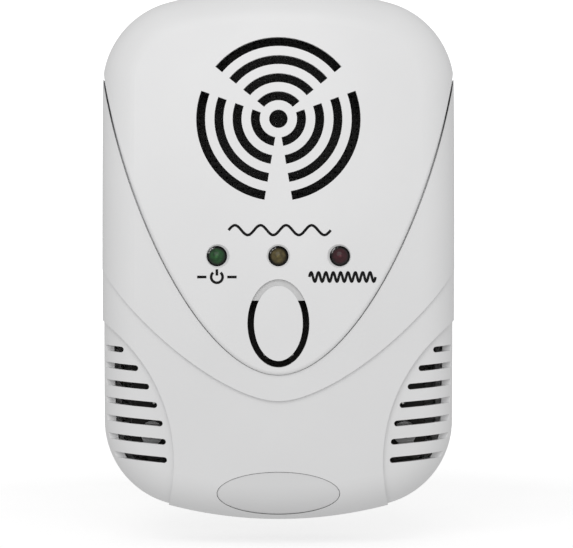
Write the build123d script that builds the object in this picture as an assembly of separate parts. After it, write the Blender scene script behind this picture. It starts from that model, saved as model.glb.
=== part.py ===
from build123d import *
import math
import os

# Plug-in ultrasonic and electromagnetic pest repeller, in millimetres.
# It is drawn lying on its back: x to the right, y up the wall, z out of the wall towards the viewer.
# z = 0 is the flat face of the plug boss, and x = y = 0 is midway between the two pins.
# save() stands it up, so that the finished part has +Z up and +Y into the wall.

# ---- Case
body_width = 84.7
body_height = 127.7
corner_radius = 21.1
end_arc_radius = 108.0
front_depth = 24.0
rear_depth = 14.0
front_edge_radius = 10.0
rear_edge_radius = 4.0
crown_radius = 200.0
crown_stretch = 1.58
front_wall = 2.6
seat_wall = 2.0
rear_wall = 2.4
parting_gap = 0.7
lip_height = 1.8
lip_thickness = 1.1
lip_clearance = 0.15

# ---- Raised band and shield, with edges as fractions of the half width and half height
band_rise = 0.8
shield_rise = 1.8
shield_thickness = 2.0
shield_edge_radius = 0.9
seat_gap = 0.1
seam_side_gap = 0.5
seam_tip_gap = 0.08
seam_below_button = 1.9
band_drop = 6.1
seam_handle = 0.391
seam_knee = (0.864, 0.098)
seam_top = (1.031, 0.780)
band_handle = 0.262
band_knee = (0.766, -0.303)
band_top = (1.046, -0.010)
stake_radius = 1.4
stake_head_radius = 2.3
stake_head_height = 1.0
stake_head_gap = 0.6
stake_clearance = 0.1
stake_inset = 13.0
stake_below_grille = 12.0
stake_beside_button = 6.5

# ---- Sound grille
grille_below_top = 32.05
grille_ring_count = 4
grille_inner_ring_radius = 6.5
grille_ring_pitch = 4.29
grille_slot_width = 2.12
grille_hub_hole_radius = 2.17
grille_spoke_angle = 19.5
grille_spoke_directions = (30, 150, 270)

# ---- Lamps
lamp_pitch = 14.45
lamps_below_grille = 32.3
lens_radius = 2.3
lens_flange_radius = 2.9
lens_flange_height = 1.0
lamp_length = 8.6
lamp_proud = 0.3
lamp_clearance = 0.1
lamp_hole_bevel = 0.4

# ---- Button flap
button_below_lamps = 15.8
button_half_width = 7.28
button_half_height = 10.38
button_slot = 1.55
hinge_arc_start = 5.35
hinge_web_depth = 0.8
hinge_web_thickness = 0.5
stem_radius = 0.8
stem_boss_radius = 1.8
stem_boss_height = 1.5
stem_below_button = 5.7
stem_gap = 0.1
stem_window = 0.8

# ---- Oval badge
badge_above_bottom = 6.95
badge_half_width = 14.5
badge_half_height = 5.2
badge_thickness = 1.0
badge_sunk = 0.25
badge_gap = 0.14

# ---- Vents
vent_centre_outside = 22.75
vent_centre_above_bottom = 14.75
vent_radius = 40.3
vent_scoop = 0.9
vent_scoop_inset = 0.3
vent_slot_count = 7
vent_slot_pitch = 4.38
vent_slot_height = 1.4
vent_slot_margin = 1.7
vent_slot_tilt = 5.0
vent_slot_reach = 11.0
rear_vent_count = 6
rear_vent_pitch = 4.2
rear_vent_width = 1.6
rear_vent_length = 34.0
rear_vent_above_bottom = 14.15

# ---- Plug
boss_length = 10.0
boss_width = 35.3
boss_thickness = 13.7
boss_corner_radius = 2.0
pin_spacing = 18.6
pin_radius = 2.0
pin_length = 19.0
pin_neck_radius = 1.4
pin_tip_round = 1.4
sleeve_radius = 1.8
sleeve_length = 10.0
sleeve_buried = 4.0
pin_flange_radius = 3.4
pin_flange_height = 1.6
pin_tail = 5.0
clamp_plate_thickness = 2.0
clamp_plate_width = 38.0
clamp_plate_height = 11.0
clamp_screw_spacing = 32.0
clamp_screw_floor = 1.0
clamp_corner_radius = 2.0
clamp_clearance = 0.15

# ---- Screws
screw_radius = 1.45
screw_head_radius = 2.7
screw_head_height = 2.0
screw_clearance = 0.1
screw_bite = 10.0
screw_end_room = 1.0
screw_cross_length = 1.1
screw_cross_width = 0.28
screw_head_round = 0.45
small_screw_radius = 1.1
small_screw_head_radius = 2.1
small_screw_head_height = 1.5
small_screw_bite = 5.0
boss_radius = 4.0
small_boss_radius = 2.8
well_floor = 3.0
well_clearance = 0.5
spigot_step = 0.6
top_screw_inset = (11.0, 15.7)
bottom_screw_offset = 19.0
bottom_screw_above_bottom = 9.85

# ---- Board
board_behind_crown = 14.0
board_thickness = 1.6
board_side_gap = 4.4
board_above_lamps = 5.5
board_above_bottom = 15.85
board_corner_radius = 2.0
board_screw_inset = 5.0
lead_radius = 0.3
lead_hole_radius = 0.45
lead_pitch = 2.54
lead_tail = 1.3
lead_bend = 0.8
solder_height = 0.9
solder_radius = 0.85
part_standoff = 0.3
pad_clearance = 0.4
pad_spread = 24.0
screw_hole_clearance = 0.2

# ---- Parts on the board's rear: the chip is placed from the lamp row, and the others from the lamp row or the
# pin row, whichever is lower, so that the mains wires pass clear of them
film_size = (18.0, 7.5, 12.0)
film_place = (-17.5, -9.0)
film_pitch = 15.0
film_edge_radius = 0.5
can_radius = 4.0
can_height = 11.5
can_places = [(17.5, -8.5), (27.5, -11.5)]
can_pitch = 3.5
can_edge_radius = 0.5
can_groove_depth = 0.3
can_groove = (1.5, 2.2)
axial_pitch = 10.0
fuse_place = (-20.0, -17.0)
fuse_size = (2.2, 8.0)
diode_size = (1.35, 4.6)
diode_x = -25.0
resistor_size = (1.15, 6.2)
resistor_x = 25.0
axial_rows = 4
axial_row_pitch = 4.2
axial_first_row = -22.8
axial_end_round = 0.3
transistor_places = [(-9.0, -23.0), (10.0, -23.0)]
transistor_radius = 2.4
transistor_flat = 1.2
transistor_height = 4.8
transistor_pitch = 1.8
transistor_standoff = 2.5
chip_size = (9.6, 6.4, 3.4)
chip_place = (0.0, -11.8)
chip_standoff = 0.8
chip_notch = (0.8, 0.5)
chip_row_spacing = 8.2
chip_row_leads = 4
chip_lead_size = (0.5, 0.28)
chip_shoulder = 1.8
chip_pin = 0.8
header_size = (6.0, 2.6, 6.0)
header_chamfer = 0.4

# ---- Tactile switch
switch_side = 6.2
switch_height = 3.5
switch_cover_thickness = 0.3
plunger_radius = 1.75
plunger_clearance = 0.1
plunger_sunk = 1.2
plunger_proud = 2.2
plunger_well = 0.6
switch_corner_radius = 0.5
switch_lead_spacing = (6.5, 4.5)

# ---- Sounder
sounder_radius = 25.5
sounder_flange = 2.0
sounder_seat_behind_crown = 9.5
sounder_depth = 14.0
sounder_wall = 1.6
sounder_throat_radius = 11.5
sounder_mouth_radius = 21.0
sounder_screw_radius = 29.0
sounder_screw_short = 1.5
sounder_throat_length = 4.0
sounder_ear_root = 0.86
sounder_rim_clearance = 1.0
disc_above_cap = 1.5
cone_thickness = 0.6
cone_foot_radius = 2.0
cone_below_mouth = 2.5
cone_rim_gap = 4.0
cloth_thickness = 0.4
cloth_inset = 0.6
seat_ring_width = 3.6
disc_clearance = 0.1
brass_thickness = 0.4
ceramic_radius = 7.5
ceramic_thickness = 0.35
cap_thickness = 2.0
cap_edge_radius = 0.8
cap_ring = 1.2
terminal_spacing = 5.0
terminals_below_centre = 6.0

# ---- Coil
coil_length = 24.0
coil_flange_radius = 8.5
coil_flange_thickness = 1.2
coil_tube_radius = 4.2
coil_core_radius = 3.0
coil_core_overhang = 2.0
coil_winding_radius = 7.4
coil_above_board_bottom = 9.8
coil_core_clearance = 0.1
coil_core_chamfer = 0.4
coil_lead_reach = 3.0
coil_lead_behind_board = 3.0
coil_lead_bend = 1.0

# ---- Wires
wire_radius = 0.85
wire_bend = 3.0
wire_rise = 1.2
thin_wire_radius = 0.55
thin_wire_drop = 0.4

# ---- Rating label, left blank
label_width = 40.0
label_height = 22.0
label_thickness = 0.2
label_corner_radius = 1.3
label_seat_gap = 0.2
label_above_boss = 26.0

# ---- Levels and places that follow
half_width = body_width / 2
half_height = body_height / 2
back = boss_length
parting = boss_length + rear_depth
crown = parting + front_depth
through = crown + shield_rise + 5
board_front = crown - board_behind_crown
board_rear = board_front - board_thickness
seat_inset = shield_thickness + seat_gap
cavity_inset = seat_inset + seat_wall
grille_y = half_height - grille_below_top
lamp_y = grille_y - lamps_below_grille
button_y = lamp_y - button_below_lamps
stem_y = button_y - stem_below_button
seam_tip = button_y - button_half_height - seam_below_button
band_tip = seam_tip - band_drop
badge_y = badge_above_bottom - half_height
board_top = lamp_y + board_above_lamps
board_bottom = board_above_bottom - half_height
board_half_width = half_width - front_wall - board_side_gap
sounder_seat = crown - sounder_seat_behind_crown
pad_y = lamp_y + lens_flange_radius + solder_radius + pad_clearance
part_row = min(lamp_y, 0.0)
clamp_seat = back + rear_wall + pin_flange_height
cloth_rear = sounder_seat - cloth_thickness
cap_front = cloth_rear - sounder_depth
disc_rear = cap_front + disc_above_cap


# ---------------------------------------------------------------- helpers
def body_outline(inset):
    """The case's outline: straight sides, round corners and gently arched ends, drawn in by inset."""
    side = half_width - inset
    corner = corner_radius - inset
    end = end_arc_radius - inset
    corner_x = side - corner
    end_y = half_height - inset - end
    corner_y = end_y + math.sqrt((end - corner) ** 2 - corner_x**2)
    turn = math.degrees(math.atan2(corner_y - end_y, corner_x))
    edges = [
        Line((side, -corner_y), (side, corner_y)),
        CenterArc((corner_x, corner_y), corner, 0, turn),
        CenterArc((0, end_y), end, turn, 180 - 2 * turn),
        CenterArc((-corner_x, corner_y), corner, 180 - turn, turn),
        Line((-side, corner_y), (-side, -corner_y)),
        CenterArc((-corner_x, -corner_y), corner, 180, turn),
        CenterArc((0, -end_y), end, 180 + turn, 180 - 2 * turn),
        CenterArc((corner_x, -corner_y), corner, 360 - turn, turn),
    ]
    return make_face(edges)


def bar(sketch, low, high):
    """A flat shape drawn out from z = low to z = high."""
    return extrude(Pos(0, 0, low) * sketch, amount=high - low)


def turned(points, x=0.0, y=0.0):
    """A solid turned about the z direction at (x, y), from its half section as (radius, z) points."""
    section = make_face(Polyline(*[(r, 0, z) for r, z in points], close=True))
    return Pos(x, y, 0) * revolve(section, axis=Axis.Z)


def disc(radius, low, high, x=0.0, y=0.0):
    """A round bar along z."""
    return bar(Pos(x, y) * Circle(radius), low, high)


def tube(outer, inner, low, high, x=0.0, y=0.0):
    """A round tube along z."""
    return bar(Pos(x, y) * (Circle(outer) - Circle(inner)), low, high)


def crown_height(rise, x, y):
    """Height z of the crowned front face above the point (x, y)."""
    across = x / crown_radius
    along = y / (crown_radius * crown_stretch)
    return crown + rise - crown_radius + crown_radius * math.sqrt(1 - across**2 - along**2)


def crowned_block(top):
    """Everything under the crowned face, which is part of a ball stretched along the body."""
    ball = Rot(90, 0, 0) * Sphere(crown_radius)
    return Pos(0, 0, top - crown_radius) * scale(ball, by=(1, crown_stretch, 1))


def cushion(rise, inset, base=parting):
    """The case's pillow shape, lifted by rise and drawn in on every side by inset."""
    top = crown + rise - inset
    block = bar(body_outline(inset), base, top + 1) & crowned_block(top)
    face = block.faces().sort_by(Axis.Z)[-1]
    return fillet(face.edges(), radius=front_edge_radius - inset)


def above_edge(tip, handle, knee, top, side_gap=0.0, tip_gap=0.0):
    """A prism over all that lies above a V-shaped edge, drawn back from it at its sides and at its tip."""
    shrink = 1 - side_gap / half_width
    low = tip + tip_gap
    points = [
        (0, low),
        (handle * half_width * shrink, low),
        (knee[0] * half_width * shrink, knee[1] * half_height + tip_gap),
        (top[0] * half_width * shrink, top[1] * half_height + tip_gap),
    ]
    end = points[-1]
    far = (1.4 * half_width, end[1] + 0.08 * half_height)
    lid = 1.4 * half_height
    edges = [
        Bezier(*points),
        Line(end, far),
        Line(far, (far[0], lid)),
        Line((far[0], lid), (-far[0], lid)),
        Line((-far[0], lid), (-far[0], far[1])),
        Line((-far[0], far[1]), (-end[0], end[1])),
        Bezier(*[(-x, y) for x, y in points]),
    ]
    return bar(make_face(edges), -5, through)


def above_seam(side_gap=0.0, tip_gap=0.0, drop=0.0):
    """Everything above the shield's seam."""
    return above_edge(seam_tip - drop, seam_handle, seam_knee, seam_top, side_gap, tip_gap)


def shield_prism():
    """The shield's own outline, clear of the seam."""
    return above_seam(seam_side_gap, seam_tip_gap)


def above_band_edge():
    """Everything above the raised band's lower edge."""
    return above_edge(band_tip, band_handle, band_knee, band_top)


def oval(half_w, half_h, y, low, high):
    """An oval bar along z."""
    return bar(Pos(0, y) * Ellipse(half_w, half_h), low, high)


def pair(x, y, pitch=lead_pitch):
    """Two points side by side, centred on (x, y)."""
    return [(x - pitch / 2, y), (x + pitch / 2, y)]


def route(points, radius, bend):
    """A round wire along straight runs joined by tangent arcs."""
    path = FilletPolyline(*points, radius=bend)
    start = Plane(origin=path @ 0, z_dir=path % 0)
    return sweep(start * Circle(radius), path=path)


# ---------------------------------------------------------------- places
def case_screw_points():
    top_x = half_width - top_screw_inset[0]
    top_y = half_height - top_screw_inset[1]
    low_y = bottom_screw_above_bottom - half_height
    return [(side * x, y) for x, y in ((top_x, top_y), (bottom_screw_offset, low_y)) for side in (-1, 1)]


def board_screw_points():
    x = board_half_width - board_screw_inset
    levels = (board_top - board_screw_inset, board_bottom + board_screw_inset)
    return [(side * x, y) for side in (-1, 1) for y in levels]


def sounder_screw_points():
    reach = sounder_screw_radius / math.sqrt(2)
    return [(sx * reach, grille_y + sy * reach) for sx in (-1, 1) for sy in (-1, 1)]


def stake_points():
    high = (half_width - stake_inset, grille_y - stake_below_grille)
    low = (button_half_width + stake_beside_button, button_y)
    return [(side * x, y) for side in (-1, 1) for x, y in (high, low)]


def lamp_points():
    return [(i * lamp_pitch, lamp_y) for i in (-1, 0, 1)]


def pin_places():
    return -pin_spacing / 2, pin_spacing / 2


def clamp_screw_places():
    return -clamp_screw_spacing / 2, clamp_screw_spacing / 2


def switch_lead_points():
    dx, dy = switch_lead_spacing
    return [(sx * dx / 2, stem_y + sy * dy / 2) for sx in (-1, 1) for sy in (-1, 1)]


# ---------------------------------------------------------------- case
def vent_side(side):
    """Centre of the circle that bounds the vent zone on one side."""
    return side * (half_width + vent_centre_outside), vent_centre_above_bottom - half_height


def vent_scoop_cut(side):
    x, y = vent_side(side)
    kept = cushion(-vent_scoop, vent_scoop_inset, parting - 2)
    return disc(vent_radius, parting - 1, through, x, y) - kept


def vent_slots(side):
    """Slots that start along the vent zone's round edge and rise a little towards the side of the case."""
    cx, cy = vent_side(side)
    reach = vent_radius - vent_slot_margin
    cuts = Sketch()
    for i in range(vent_slot_count):
        y = cy + i * vent_slot_pitch
        inner = abs(cx) - math.sqrt(reach**2 - (y - cy) ** 2)
        length = half_width + 2 * corner_radius - inner
        slot = Pos(side * length / 2, 0) * SlotOverall(length, vent_slot_height)
        cuts += Pos(side * inner, y) * Rot(0, 0, side * vent_slot_tilt) * slot
    return bar(cuts, crown - vent_slot_reach, through)


def front_skin():
    """Outside of the front shell, with the raised band and the sunk seat for the shield."""
    band = cushion(band_rise, 0) & above_band_edge()
    skin = cushion(0, 0) + band
    skin = skin - above_seam() + cushion(shield_rise, seat_inset)
    for side in (-1, 1):
        skin -= vent_scoop_cut(side)
    recess = oval(badge_half_width + badge_gap, badge_half_height + badge_gap, badge_y, parting, through)
    return skin - (recess - cushion(0, badge_sunk + badge_thickness, parting - 2))


def front_cavity():
    """Hollow of the front shell, deeper under the shield where the case wall steps in."""
    lower = cushion(0, front_wall, parting - 1) - above_seam(drop=front_wall)
    return lower + cushion(shield_rise, cavity_inset, parting - 1)


def front_bosses():
    """Screw bosses and the sounder's seat ring, which stand in the hollow up to the face."""
    posts = Part()
    for x, y in case_screw_points():
        posts += disc(boss_radius, parting, through, x, y)
    for x, y in board_screw_points():
        posts += disc(small_boss_radius, board_front, through, x, y)
    for x, y in sounder_screw_points():
        posts += disc(small_boss_radius, sounder_seat, through, x, y)
    return posts + tube(sounder_radius, sounder_radius - seat_ring_width, sounder_seat, through, 0, grille_y)


def front_bores():
    """Screw bores in the bosses, and every opening under the shield."""
    cuts = Part()
    large = screw_radius + screw_clearance
    for x, y in case_screw_points():
        cuts += disc(large, parting - 1, parting + screw_bite + screw_end_room, x, y)
    small = small_screw_radius + screw_clearance
    for x, y in board_screw_points():
        cuts += disc(small, board_front - 1, board_front + small_screw_bite + screw_end_room, x, y)
    for x, y in sounder_screw_points():
        end = sounder_seat + small_screw_bite - sounder_screw_short + screw_end_room
        cuts += disc(small, sounder_seat - 1, end, x, y)
    cuts += disc(sounder_radius - seat_ring_width, sounder_seat, through, 0, grille_y)
    for x, y in lamp_points():
        cuts += disc(lens_flange_radius + lamp_clearance, board_front, through, x, y)
    for x, y in stake_points():
        cuts += disc(stake_radius + stake_clearance, board_front, through, x, y)
    window_w = button_half_width + stem_window
    window_h = button_half_height + stem_window
    return cuts + oval(window_w, window_h, button_y, board_front, through)


def front_shell():
    hollow = front_cavity() - front_bosses()
    shell = front_skin() - hollow
    for side in (-1, 1):
        shell -= vent_slots(side)
    return shell - front_bores()


def grille_cuts():
    """Rings of arc slots parted by three spokes, round a small hub hole."""
    rings = Sketch()
    for i in range(grille_ring_count):
        outer = grille_inner_ring_radius + i * grille_ring_pitch
        rings += Circle(outer) - Circle(outer - grille_slot_width)
    reach = 2 * sounder_radius
    spread = reach * math.tan(math.radians(grille_spoke_angle / 2))
    for angle in grille_spoke_directions:
        spoke = make_face(Polyline((0, 0), (reach, -spread), (reach, spread), close=True))
        rings -= Rot(0, 0, angle) * spoke
    return bar(Pos(0, grille_y) * (rings + Circle(grille_hub_hole_radius)), parting, through)


def seam_edges(solid):
    """Outer edges of the shield along its seam."""
    seam = [e for e in shield_prism().faces().sort_by(Axis.Z)[-1].edges() if e.center().Y < half_height]
    flat = [e.translate((0, 0, -through)) for e in seam]
    found = []
    for edge in solid.edges():
        middle = edge @ 0.5
        ground = Vector(middle.X, middle.Y, 0)
        outside = middle.Z > parting + 0.5 and abs(middle.X) > 0.01
        if outside and min(e.distance_to(ground) for e in flat) < 0.01:
            found.append(edge)
    return found


def front_shield():
    """V-shaped hood over the upper part, with the grille, the lamp holes and the button's slot."""
    outer = cushion(shield_rise, 0) & shield_prism()
    outer = fillet(seam_edges(outer), radius=shield_edge_radius)
    shield = outer - cushion(shield_rise, shield_thickness, parting - 1)
    shield -= grille_cuts()
    for x, y in lamp_points():
        rim = crown_height(shield_rise, x, y)
        hole = lens_radius + lamp_clearance
        shield -= disc(hole, parting, through, x, y)
        bevel = Cone(hole, hole + 2 * lamp_hole_bevel, 2 * lamp_hole_bevel)
        shield -= Pos(x, y, rim) * bevel
    shield -= oval(button_half_width, button_half_height, button_y, parting, through)
    for x, y in stake_points():
        face = crown_height(shield_rise, x, y)
        head = face - cavity_inset - stake_head_gap
        shield += disc(stake_radius, head, face - shield_thickness / 2, x, y)
        shield += disc(stake_head_radius, head - stake_head_height, head, x, y)
    return shield


def button_flap():
    """Oval push flap, with a stem behind it that reaches the switch."""
    flap_w = button_half_width - button_slot
    flap_h = button_half_height - button_slot
    plate = oval(flap_w, flap_h, button_y, parting, through) & cushion(shield_rise, 0)
    plate -= cushion(shield_rise, shield_thickness, parting - 1)
    face = crown_height(shield_rise, 0, stem_y) - shield_thickness / 2
    low = crown_height(shield_rise, 0, stem_y) - shield_thickness - stem_boss_height
    plate += disc(stem_boss_radius, low, face, 0, stem_y)
    return plate + disc(stem_radius, plunger_top() + stem_gap, face, 0, stem_y)


def button_hinge_web():
    """Thin web across the upper end of the button's slot, on which the flap bends."""
    ring = Ellipse(button_half_width, button_half_height)
    ring -= Ellipse(button_half_width - button_slot, button_half_height - button_slot)
    upper = Rectangle(4 * button_half_width, 2 * button_half_height)
    ring &= Pos(0, hinge_arc_start + button_half_height) * upper
    web = bar(Pos(0, button_y) * ring, parting, through) & cushion(shield_rise, hinge_web_depth)
    return web - cushion(shield_rise, hinge_web_depth + hinge_web_thickness, parting - 1)


def badge_plate():
    plate = oval(badge_half_width, badge_half_height, badge_y, parting, through)
    return (plate & cushion(0, badge_sunk)) - cushion(0, badge_sunk + badge_thickness, parting - 1)


def boss_profile():
    """Flat six-sided plug shape with round corners."""
    half_w = boss_width / 2
    half_h = boss_thickness / 2
    shoulder = half_w - half_h
    upper = [(-half_w, 0), (-shoulder, half_h), (shoulder, half_h)]
    lower = [(-x, -y) for x, y in upper]
    face = make_face(Polyline(*upper, *lower, close=True))
    return fillet(face.vertices(), radius=boss_corner_radius)


def rear_case():
    """Rear shell's tub with its lip, screw wells and plug boss, before any bore."""
    rim = parting - parting_gap
    block = bar(body_outline(0), back, rim)
    block = fillet(block.faces().sort_by(Axis.Z)[0].edges(), radius=rear_edge_radius)
    tub = block - bar(body_outline(rear_wall), back + rear_wall, rim + 1)
    lip_outer = front_wall + lip_clearance
    lip_inner = lip_outer + lip_thickness
    seat = cavity_inset + lip_clearance
    lip = bar(body_outline(lip_outer) - body_outline(lip_inner), rim - lip_height, parting + lip_height)
    step = above_seam(drop=front_wall + 1)
    lip -= bar(body_outline(0) - body_outline(seat), rim, through) & step
    root = bar(body_outline(rear_wall / 2) - body_outline(lip_inner), rim - 2 * lip_height, rim)
    tub += lip + root
    for x, y in case_screw_points():
        tub += disc(boss_radius + well_clearance, back + rear_wall / 2, rim, x, y)
        tub += disc(boss_radius - spigot_step, rim - 1, parting, x, y)
    for x in clamp_screw_places():
        tub += disc(small_boss_radius, back + rear_wall / 2, clamp_seat, x, 0)
    return tub + bar(boss_profile(), 0, back + rear_wall)


def rear_shell():
    shell = rear_case()
    for x, y in case_screw_points():
        shell -= disc(screw_head_radius + well_clearance, back - 1, parting - well_floor, x, y)
        shell -= disc(screw_radius + screw_clearance, back, parting + 1, x, y)
    for x in pin_places():
        shell -= disc(pin_neck_radius, -1, parting, x, 0)
        shell -= disc(sleeve_radius, -1, sleeve_buried, x, 0)
    for x in clamp_screw_places():
        shell -= disc(small_screw_radius + screw_clearance, back + clamp_screw_floor, parting, x, 0)
    low = rear_vent_above_bottom - half_height
    for i in range(rear_vent_count):
        slot = Pos(0, low + i * rear_vent_pitch) * SlotOverall(rear_vent_length, rear_vent_width)
        shell -= bar(slot, back - 1, back + rear_wall + 1)
    return shell - bar(label_outline(label_seat_gap), back - 1, back + label_thickness)


def label_outline(gap=0.0):
    """The label's rounded rectangle, or its seat when gap is added all round."""
    outline = RectangleRounded(label_width + 2 * gap, label_height + 2 * gap, label_corner_radius + gap)
    return Pos(0, label_above_boss) * outline


def rating_label():
    return bar(label_outline(), back, back + label_thickness)


# ---------------------------------------------------------------- plug
def plug_pin(x):
    """Round pin with a domed tip, a thinner neck under its sleeve, a flange and a solder tail."""
    pin = disc(pin_neck_radius, -sleeve_length, clamp_seat + pin_tail, x, 0)
    pin += disc(pin_flange_radius, back + rear_wall, clamp_seat, x, 0)
    head = disc(pin_radius, -pin_length, -sleeve_length, x, 0)
    return pin + fillet(head.faces().sort_by(Axis.Z)[0].edges(), radius=pin_tip_round)


def pin_sleeves():
    sleeves = Part()
    for x in pin_places():
        sleeves += tube(sleeve_radius, pin_neck_radius, -sleeve_length, sleeve_buried, x, 0)
    return sleeves


def pin_clamp_plate():
    plate = RectangleRounded(clamp_plate_width, clamp_plate_height, clamp_corner_radius)
    for x in pin_places():
        plate -= Pos(x, 0) * Circle(pin_neck_radius + clamp_clearance)
    for x in clamp_screw_places():
        plate -= Pos(x, 0) * Circle(small_screw_radius + screw_hole_clearance)
    return bar(plate, clamp_seat, clamp_seat + clamp_plate_thickness)


# ---------------------------------------------------------------- screws
def screw(radius, head_radius, head_height, head_face, tip, x, y):
    """Round-head screw with a cross slot; the head sits on head_face and the shank runs to tip."""
    away = -1 if tip > head_face else 1
    crown_z = head_face + away * head_height
    head = disc(head_radius, min(head_face, crown_z), max(head_face, crown_z), x, y)
    outer = head.faces().sort_by(Axis.Z)[0 if away < 0 else -1]
    head = fillet(outer.edges(), radius=head_height * screw_head_round)
    long = head_radius * screw_cross_length
    short = head_radius * screw_cross_width
    cross = Box(long, short, head_height) + Box(short, long, head_height)
    return head + disc(radius, min(head_face, tip), max(head_face, tip), x, y) - Pos(x, y, crown_z) * cross


def case_screws():
    size = (screw_radius, screw_head_radius, screw_head_height)
    return [screw(*size, parting - well_floor, parting + screw_bite, x, y) for x, y in case_screw_points()]


def small_screws(points, seat, tip):
    size = (small_screw_radius, small_screw_head_radius, small_screw_head_height)
    return [screw(*size, seat, tip, x, y) for x, y in points]


def board_screws():
    return small_screws(board_screw_points(), board_rear, board_front + small_screw_bite)


def sounder_screws():
    tip = sounder_seat + small_screw_bite - sounder_screw_short
    return small_screws(sounder_screw_points(), cloth_rear - sounder_flange, tip)


def clamp_screws():
    points = [(x, 0) for x in clamp_screw_places()]
    return small_screws(points, clamp_seat + clamp_plate_thickness, back + clamp_screw_floor + screw_end_room)


# ---------------------------------------------------------------- board and its parts
def below(row, place):
    """A place on the board, measured from a row."""
    return place[0], row + place[1]


def axial_places():
    """Centre, body radius and body length of every part that lies along x on the board's rear."""
    places = [(*below(part_row, fuse_place), *fuse_size)]
    for x, size in ((diode_x, diode_size), (resistor_x, resistor_size)):
        for i in range(axial_rows):
            places.append((x, part_row + axial_first_row - i * axial_row_pitch, *size))
    return places


def chip_lead_points():
    x, y = below(lamp_y, chip_place)
    first = x - (chip_row_leads - 1) * lead_pitch / 2
    sides = (-chip_row_spacing / 2, chip_row_spacing / 2)
    return [(first + i * lead_pitch, y + side) for i in range(chip_row_leads) for side in sides]


def rear_lead_points():
    """Holes of the parts on the board's rear that stand on straight leads, with each lead's start."""
    points = [(p, board_rear - part_standoff) for p in pair(*below(part_row, film_place), film_pitch)]
    for place in can_places:
        points += [(p, board_rear - part_standoff) for p in pair(*below(part_row, place), can_pitch)]
    for place in transistor_places:
        x, y = below(part_row, place)
        points += [((x + i * transistor_pitch, y), board_rear - transistor_standoff) for i in (-1, 0, 1)]
    points += [(p, board_rear - part_standoff) for p in pair(0, pad_y)]
    return points


def axial_lead_points():
    return [(x + side * axial_pitch / 2, y) for x, y, _, _ in axial_places() for side in (-1, 1)]


def front_lead_points():
    """Holes of the parts on the board's front, with the height where each lead starts."""
    points = []
    for x, y in lamp_points():
        points += [(p, lamp_base()) for p in pair(x, y)]
    return points + [(p, board_front + part_standoff) for p in switch_lead_points()]


def wire_pads():
    return [(-pad_spread, pad_y), (pad_spread, pad_y)]


def coil_pads():
    return pair(0, board_bottom + coil_above_board_bottom, coil_length + 2 * coil_lead_reach)


def main_board():
    outline = RectangleRounded(2 * board_half_width, board_top - board_bottom, board_corner_radius)
    board = Pos(0, (board_top + board_bottom) / 2) * outline
    for x, y in board_screw_points():
        board -= Pos(x, y) * Circle(small_screw_radius + screw_hole_clearance)
    holes = [p for p, _ in front_lead_points() + rear_lead_points()]
    holes += axial_lead_points() + chip_lead_points() + wire_pads() + coil_pads()
    for x, y in holes:
        board -= Pos(x, y) * Circle(lead_hole_radius)
    return bar(board, board_rear, board_front)


def lamp_tip():
    return crown_height(shield_rise, 0, lamp_y) + lamp_proud


def lamp_base():
    return lamp_tip() - lamp_length


def lamp(index):
    """Round-nosed lamp with a flange, standing on its spacer."""
    x, y = lamp_points()[index]
    base = lamp_base()
    barrel = disc(lens_radius, base, lamp_tip(), x, y)
    barrel = fillet(barrel.faces().sort_by(Axis.Z)[-1].edges(), radius=lens_radius * 0.96)
    return barrel + disc(lens_flange_radius, base, base + lens_flange_height, x, y)


def led_spacers():
    posts = Part()
    for x, y in lamp_points():
        post = Pos(x, y) * Circle(lens_flange_radius)
        for px, py in pair(x, y):
            post -= Pos(px, py) * Circle(lead_hole_radius)
        posts += bar(post, board_front, lamp_base())
    return posts


def axial_lead(x, y, radius, length, side):
    """Lead that leaves an axial part's end, bends and passes through the board."""
    level = board_rear - part_standoff - radius
    end = x + side * axial_pitch / 2
    points = [(x + side * length / 2, y, level), (end, y, level), (end, y, board_front + lead_tail)]
    return route(points, lead_radius, lead_bend)


def component_leads():
    wires = []
    for (x, y), start in front_lead_points():
        wires.append(disc(lead_radius, board_rear - lead_tail, start, x, y))
    for (x, y), start in rear_lead_points():
        wires.append(disc(lead_radius, start, board_front + lead_tail, x, y))
    for x, y, radius, length in axial_places():
        wires += [axial_lead(x, y, radius, length, side) for side in (-1, 1)]
    return wires


def solder_cone(x, y, face, away):
    """Cone of solder round a lead, standing on one face of the board."""
    section = [(lead_radius, face), (solder_radius, face), (lead_radius, face + away * solder_height)]
    return turned(section, x, y)


def solder_joints():
    """A cone round each lead, on the far side of the board from its part."""
    far_side = [p for p, _ in rear_lead_points()] + axial_lead_points() + chip_lead_points()
    cones = [solder_cone(x, y, board_rear, -1) for (x, y), _ in front_lead_points()]
    return cones + [solder_cone(x, y, board_front, 1) for x, y in far_side + wire_pads() + coil_pads()]


def plunger_top():
    return board_front + part_standoff + switch_height + plunger_proud


def switch_body():
    low = board_front + part_standoff
    high = low + switch_height
    block = RectangleRounded(switch_side, switch_side, switch_corner_radius)
    well = disc(plunger_radius + plunger_clearance, high - plunger_sunk - plunger_well, high + 1, 0, stem_y)
    return bar(Pos(0, stem_y) * block, low, high) - well


def switch_cover():
    low = board_front + part_standoff + switch_height
    plate = Rectangle(switch_side, switch_side) - Circle(plunger_radius + plunger_clearance)
    return bar(Pos(0, stem_y) * plate, low, low + switch_cover_thickness)


def switch_plunger():
    low = board_front + part_standoff + switch_height - plunger_sunk
    return disc(plunger_radius, low, plunger_top(), 0, stem_y)


def film_capacitor():
    x, y = below(part_row, film_place)
    top = board_rear - part_standoff
    block = Pos(x, y, top - film_size[2] / 2) * Box(*film_size)
    return fillet(block.edges(), radius=film_edge_radius)


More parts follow.
